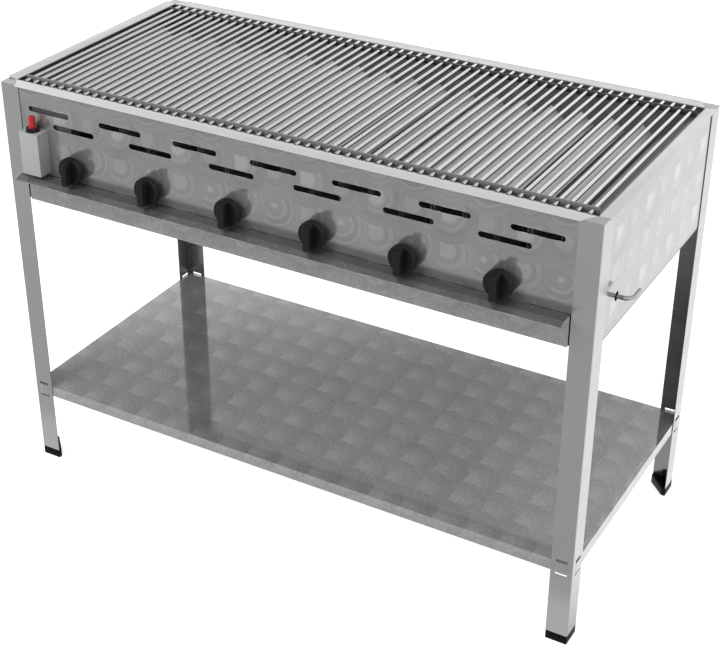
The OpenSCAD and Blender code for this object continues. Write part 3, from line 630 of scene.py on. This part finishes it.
def makeCollar():
    s = igniter
    low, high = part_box("igniter_collar")
    centre = Vector(((low.x + high.x) / 2, (low.y + high.y) / 2, 0.0))
    r = (high.x - low.x) / 2
    bore = s["collarBore"]
    chamfer = s["collarChamfer"]
    profile = [(bore, low.z), (r, low.z), (r, high.z - chamfer), (r - chamfer, high.z),
               (bore, high.z), (bore, low.z)]
    shape = bmesh.new()
    turned(shape, profile, centre, alongZ, alongX, s["collarRibs"] * s["stepsPerRib"])
    for vert in shape.verts:
        arm = Vector((vert.co.x, vert.co.y, 0.0)) - centre
        if arm.length > r - chamfer / 2:
            wave = 0.5 - 0.5 * math.cos(math.atan2(arm.y, arm.x) * s["collarRibs"])
            vert.co -= arm.normalized() * s["ribDepth"] * wave
    place("collarNutRibbed", shape, "collar_plastic", "stand", ["igniter_collar"])


def makeButton():
    s = igniter
    low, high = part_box("igniter_button")
    centre = Vector(((low.x + high.x) / 2, (low.y + high.y) / 2, 0.0))
    r = (high.x - low.x) / 2
    rounding = s["buttonRounding"]
    profile = [(0.0, low.z), (r, low.z)]
    for k in range(s["buttonSteps"] + 1):
        turn = math.radians(k * 90 / s["buttonSteps"])
        profile.append((r - rounding + rounding * math.cos(turn),
                        high.z - rounding + rounding * math.sin(turn)))
    profile.append((0.0, high.z))
    shape = bmesh.new()
    turned(shape, profile, centre, alongZ, alongX, s["buttonSides"])
    place("pushButtonRed", shape, "button_red", "igniter_button", ["igniter_button"])


rounded("igniterBoxRolled", "igniter_box", "box_grey", "stand", igniter["boxRounding"],
        igniter["boxSegments"])
makeCollar()
makeButton()
print("igniter made")

# Heat shield of the igniter, that shows as grey sheet behind the first vents
shield = {
    "fromLeft": 14 * millimetre,
    "width": 153 * millimetre,
    "height": 54 * millimetre,
    "top": 877 * millimetre,
    "stand": 7 * millimetre,
    "sheet": 1.2 * millimetre,
    "fold": 0.6 * millimetre,
}


def makeShield():
    s = shield
    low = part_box("front_panel")[0]
    inner = low.y + s["sheet"]
    back = inner + s["stand"]
    left = low.x + s["fromLeft"]
    right = left + s["width"]
    shape = bmesh.new()
    path = ((left, inner), (left, back), (right, back), (right, inner))
    chain = [shape.verts.new((x, y, s["top"])) for x, y in path]
    edges = [shape.edges.new(pair) for pair in zip(chain, chain[1:])]
    drawn = bmesh.ops.extrude_edge_only(shape, edges=edges)["geom"]
    lower = [v for v in drawn if isinstance(v, bmesh.types.BMVert)]
    bmesh.ops.translate(shape, verts=lower, vec=(0, 0, -s["height"]))
    bends = [e for e in shape.edges if len(e.link_faces) == 2]
    bmesh.ops.bevel(shape, geom=bends, offset=s["fold"], affect="EDGES", segments=3, profile=0.5,
                    material=-1)
    bmesh.ops.recalc_face_normals(shape, faces=shape.faces)
    bmesh.ops.solidify(shape, geom=shape.faces, thickness=s["sheet"])
    place("igniterShield", shape, "shield_steel", "stand")


makeShield()
print("heat shield made")

# Rims: plain strips folded over the panel tops, a little past the legs and with mitred ends
rim = {
    "sheet": 1.2 * millimetre,
    "seat": 0.05 * millimetre,
    "rounding": 0.4 * millimetre,
    "frontWidth": 24 * millimetre,
    "sideWidth": 19 * millimetre,
    "endGap": 0.8 * millimetre,
    "mitre": 15.5 * millimetre,
    "top": 909 * millimetre,
    # How far each strip passes its panel, and how far its outer edge springs up
    "past": {"front": 7.5 * millimetre, "rear": 2.5 * millimetre, "left": 2.5 * millimetre,
             "right": 4 * millimetre},
    "spring": {"front": 0.3 * millimetre, "rear": 1.5 * millimetre, "left": 3.6 * millimetre,
               "right": 0.8 * millimetre},
}


# Made as the front strip, its outer edge towards -Y, then turned to its side
def makeRim(side, half, width, mitre, seat, turn):
    s = rim
    past = s["past"][side]
    shape = bmesh.new()
    block(shape, Vector((0, (width - past) / 2, s["sheet"] / 2)),
          Vector((2 * half, width + past, s["sheet"])))
    for end in (-1, 1):
        everything = list(shape.verts) + list(shape.edges) + list(shape.faces)
        cut = bmesh.ops.bisect_plane(shape, geom=everything, plane_co=(end * half, width, 0),
                                     plane_no=(end * width, -mitre, 0),
                                     clear_outer=True)["geom_cut"]
        bmesh.ops.holes_fill(shape, edges=[e for e in cut if isinstance(e, bmesh.types.BMEdge)])
    for vert in shape.verts:
        vert.co.z += s["spring"][side] * (width - vert.co.y) / (width + past)
    bmesh.ops.bevel(shape, geom=list(shape.edges), offset=s["rounding"], affect="EDGES",
                    segments=2, profile=0.5, material=-1)
    bmesh.ops.transform(shape, verts=shape.verts,
                        matrix=Matrix.Translation(seat) @ Matrix.Rotation(turn, 4, "Z"))
    place("rimStrip_" + side, shape, "rim_steel", "stand")


def makeRims():
    s = rim
    left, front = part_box("side_panel_left")[0].x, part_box("front_panel")[0].y
    right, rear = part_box("side_panel_right")[1].x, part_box("rear_panel")[1].y
    z = s["top"] + s["seat"]
    halfWide = (right - left) / 2 - s["sideWidth"] - s["endGap"]
    halfDeep = (rear - front) / 2 - s["frontWidth"] - s["endGap"]
    quarter = math.pi / 2
    makeRim("front", halfWide, s["frontWidth"], s["mitre"], Vector((standX, front, z)), 0.0)
    makeRim("rear", halfWide, s["frontWidth"], s["mitre"], Vector((standX, rear, z)), 2 * quarter)
    makeRim("left", halfDeep, s["sideWidth"], 0.0, Vector((left, standY, z)), -quarter)
    makeRim("right", halfDeep, s["sideWidth"], 0.0, Vector((right, standY, z)), quarter)


makeRims()
print("rims made")

# Feet: the CAD form with moulded edges
feet = {"rounding": 1.2 * millimetre, "segments": 2}
for corner in ("front_left", "front_right", "rear_left", "rear_right"):
    rounded("footCap_" + corner, "foot_" + corner, "foot_plastic", "stand", feet["rounding"],
            feet["segments"])
print("feet made")

# Camera, solved from the photograph
camera = {
    "place": (1.397135, -2.4448, 2.03737),
    "azimuth": 30.264,
    "elevation": 29.638,
    "roll": 0.14,
    "focalPixels": 1527.63,
    "centrePixels": (342.32, 307.83),
    "picturePixels": (720, 646),
    "sensor": 36.0,
    "farClip": 60.0,
}


def makeCamera():
    s = camera
    turn = math.radians(s["azimuth"])
    rise = math.radians(s["elevation"])
    view = Vector((-math.sin(turn) * math.cos(rise), math.cos(turn) * math.cos(rise),
                   -math.sin(rise)))
    right = view.cross(alongZ).normalized()
    down = view.cross(right)
    roll = math.radians(s["roll"])
    rolledRight = math.cos(roll) * right + math.sin(roll) * down
    rolledUp = math.sin(roll) * right - math.cos(roll) * down
    data = bpy.data.cameras.new("camera")
    width, height = s["picturePixels"]
    data.sensor_fit = "HORIZONTAL"
    data.sensor_width = s["sensor"]
    data.lens = s["focalPixels"] / width * s["sensor"]
    data.shift_x = (width / 2 - s["centrePixels"][0]) / width
    data.shift_y = (s["centrePixels"][1] - height / 2) / width
    data.clip_end = s["farClip"]
    thing = bpy.data.objects.new("camera", data)
    scene.collection.objects.link(thing)
    turnMatrix = Matrix((rolledRight, rolledUp, -view)).transposed().to_4x4()
    thing.matrix_world = Matrix.Translation(s["place"]) @ turnMatrix
    scene.camera = thing


makeCamera()

# Studio: white to the camera; reflections show a bright band above a floor of two tones
studio = {
    "bandLevel": 1.85,
    "ceilingLeft": 0.42,
    "ceilingRight": 1.4,
    "ceilingEdge": (-0.37, -0.10),
    "bandTop": 0.43,
    "ceilingFrom": 0.54,
    "darkSide": (-0.49, -0.74, 0.46),
    "darkEdge": (0.85, 0.95),
    "darkLevel": 0.06,
    "ambientLevel": 0.55,
    "floorSize": 30.0,
    "floorFront": 0.50,
    "floorSide": 1.55,
    "floorNear": 0.85,
    "nearEdge": (0.14, 0.115),
    "floorEdge": (-0.15, 0.35),
    "floorEmission": 0.80,
    "paperTone": 0.8,
    "keyPlace": (-1.6, -2.8, 2.9),
    "keyAim": (0, 0, 0.6),
    "keySize": 2.2,
    "keyPower": 70.0,
}
white = (1, 1, 1, 1)


def makeWorld():
    s = studio
    world = bpy.data.worlds.new("room")
    scene.world = world
    world.use_nodes = True
    tree = world.node_tree
    tree.nodes.clear()
    path = add(tree, "LightPath")
    way = add(tree, "TexCoord").outputs["Generated"]
    wayXyz = add(tree, "SeparateXYZ", {0: way})
    ceiling = add(tree, "MapRange", {0: wayXyz.outputs[0], 1: s["ceilingEdge"][0],
                                     2: s["ceilingEdge"][1], 3: s["ceilingLeft"],
                                     4: s["ceilingRight"]}, interpolation_type="SMOOTHSTEP")
    band = add(tree, "MapRange", {0: wayXyz.outputs[2], 1: s["bandTop"], 2: s["ceilingFrom"],
                                  3: s["bandLevel"], 4: ceiling}, interpolation_type="SMOOTHSTEP")
    toDark = add(tree, "VectorMath", {0: way, 1: s["darkSide"]}, operation="DOT_PRODUCT")
    dark = add(tree, "MapRange", {0: toDark.outputs["Value"], 1: s["darkEdge"][0],
                                  2: s["darkEdge"][1], 3: 0.0, 4: 1.0},
               interpolation_type="SMOOTHSTEP")
    mirrored = add(tree, "Mix", {0: dark, 2: band, 3: s["darkLevel"]})
    seen = add(tree, "Math", {0: path.outputs["Is Camera Ray"],
                              1: path.outputs["Is Transmission Ray"]}, operation="MAXIMUM")
    indirect = add(tree, "Mix", {0: path.outputs["Is Glossy Ray"], 2: s["ambientLevel"],
                                 3: mirrored})
    level = add(tree, "Mix", {0: seen, 2: indirect, 3: 1.0})
    light = add(tree, "Background", {"Color": white, "Strength": level})
    add(tree, "OutputWorld", {"Surface": light})


# White paper; in reflections it is dark before the front and bright beside the right end
def floorMaterial():
    s = studio
    material, tree = newMaterial("floorPaper")
    path = add(tree, "LightPath")
    coord = add(tree, "TexCoord")
    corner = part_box("leg_front_right")
    cornerPlace = (corner[1].x, corner[0].y, 0.0)
    fromCorner = add(tree, "VectorMath", {0: coord.outputs["Object"], 1: cornerPlace},
                     operation="SUBTRACT")
    along = add(tree, "VectorMath", {0: fromCorner, 1: (1.0, 1.0, 0.0)}, operation="DOT_PRODUCT")
    tones = add(tree, "MapRange", {0: along.outputs["Value"], 1: s["floorEdge"][0],
                                   2: s["floorEdge"][1], 3: s["floorFront"], 4: s["floorSide"]},
                interpolation_type="SMOOTHSTEP")
    ahead = add(tree, "SeparateXYZ", {0: fromCorner})
    inFront = add(tree, "Math", {0: ahead.outputs[1], 1: -1.0}, operation="MULTIPLY")
    near = add(tree, "MapRange", {0: inFront, 1: s["nearEdge"][0], 2: s["nearEdge"][1],
                                  3: 0.0, 4: 1.0}, interpolation_type="SMOOTHSTEP")
    lifted = add(tree, "Math", {0: tones, 1: s["floorNear"]}, operation="MAXIMUM")
    tones = add(tree, "Mix", {0: near, 2: tones, 3: lifted})
    mirrored = add(tree, "Emission", {"Color": white, "Strength": tones})
    paperTone = s["paperTone"]
    paper = add(tree, "BsdfDiffuse", {"Color": (paperTone, paperTone, paperTone, 1)})
    glow = add(tree, "Emission", {"Color": white, "Strength": s["floorEmission"]})
    lit = add(tree, "AddShader", {0: paper, 1: glow})
    seen = add(tree, "MixShader", {0: path.outputs["Is Camera Ray"], 1: paper, 2: lit})
    whole = add(tree, "MixShader", {0: path.outputs["Is Glossy Ray"], 1: seen, 2: mirrored})
    finishMaterial(tree, whole)
    return material


def makeFloor():
    shape = bmesh.new()
    bmesh.ops.create_grid(shape, x_segments=1, y_segments=1, size=studio["floorSize"] / 2)
    mesh = bpy.data.meshes.new("floor")
    shape.to_mesh(mesh)
    shape.free()
    mesh.materials.append(floorMaterial())
    floor = bpy.data.objects.new("floor", mesh)
    scene.collection.objects.link(floor)


def makeKeyLight():
    s = studio
    light = bpy.data.lights.new("keyLight", "AREA")
    light.shape = "SQUARE"
    light.size = s["keySize"]
    light.energy = s["keyPower"]
    lamp = bpy.data.objects.new("keyLight", light)
    scene.collection.objects.link(lamp)
    lamp.location = s["keyPlace"]
    aim = Vector(s["keyAim"]) - Vector(s["keyPlace"])
    lamp.rotation_euler = aim.to_track_quat("-Z", "Y").to_euler()
    lamp.visible_glossy = False


makeWorld()
makeFloor()
makeKeyLight()
scene.view_settings.view_transform = "Standard"
print("camera and studio made")
